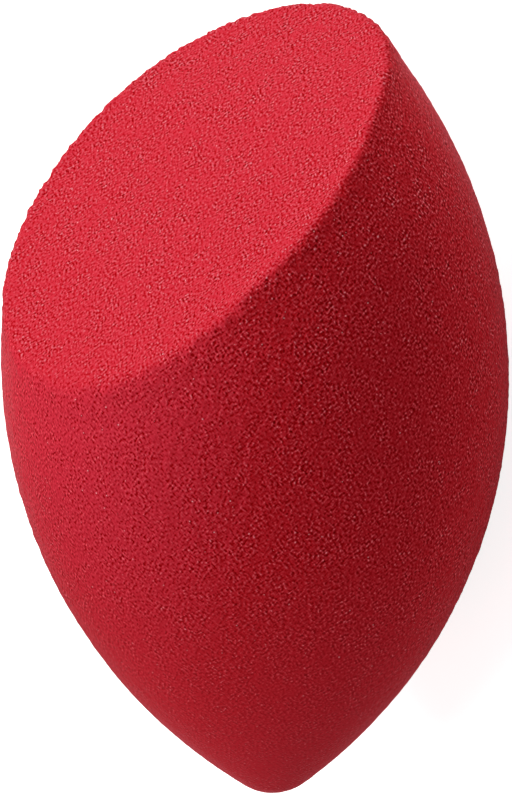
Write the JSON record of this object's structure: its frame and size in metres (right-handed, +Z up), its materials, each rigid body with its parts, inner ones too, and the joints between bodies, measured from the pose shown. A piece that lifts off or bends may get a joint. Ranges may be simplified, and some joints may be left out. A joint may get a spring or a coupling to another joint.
{
  "type": "makeup sponge",
  "caption": "Soft foam makeup sponge: a smooth lemon-shaped body with a rounded tip at one end and one slanted, gently bowed oval cut at the other.",
  "frame": {"origin": "on the table, under the middle of the sponge's outer box", "axes": "+X along the sponge toward the cut head, -X toward the rounded tip, +Z up with the cut facing up and forward, the plane y = 0 mirrors the sponge"},
  "size_m": [0.0626, 0.04, 0.0396],
  "materials": {
    "foam": "matte, fine open-cell foam"
  },
  "bodies": {
    "root": {"foam_body": "foam"}
  },
  "joints": []
}
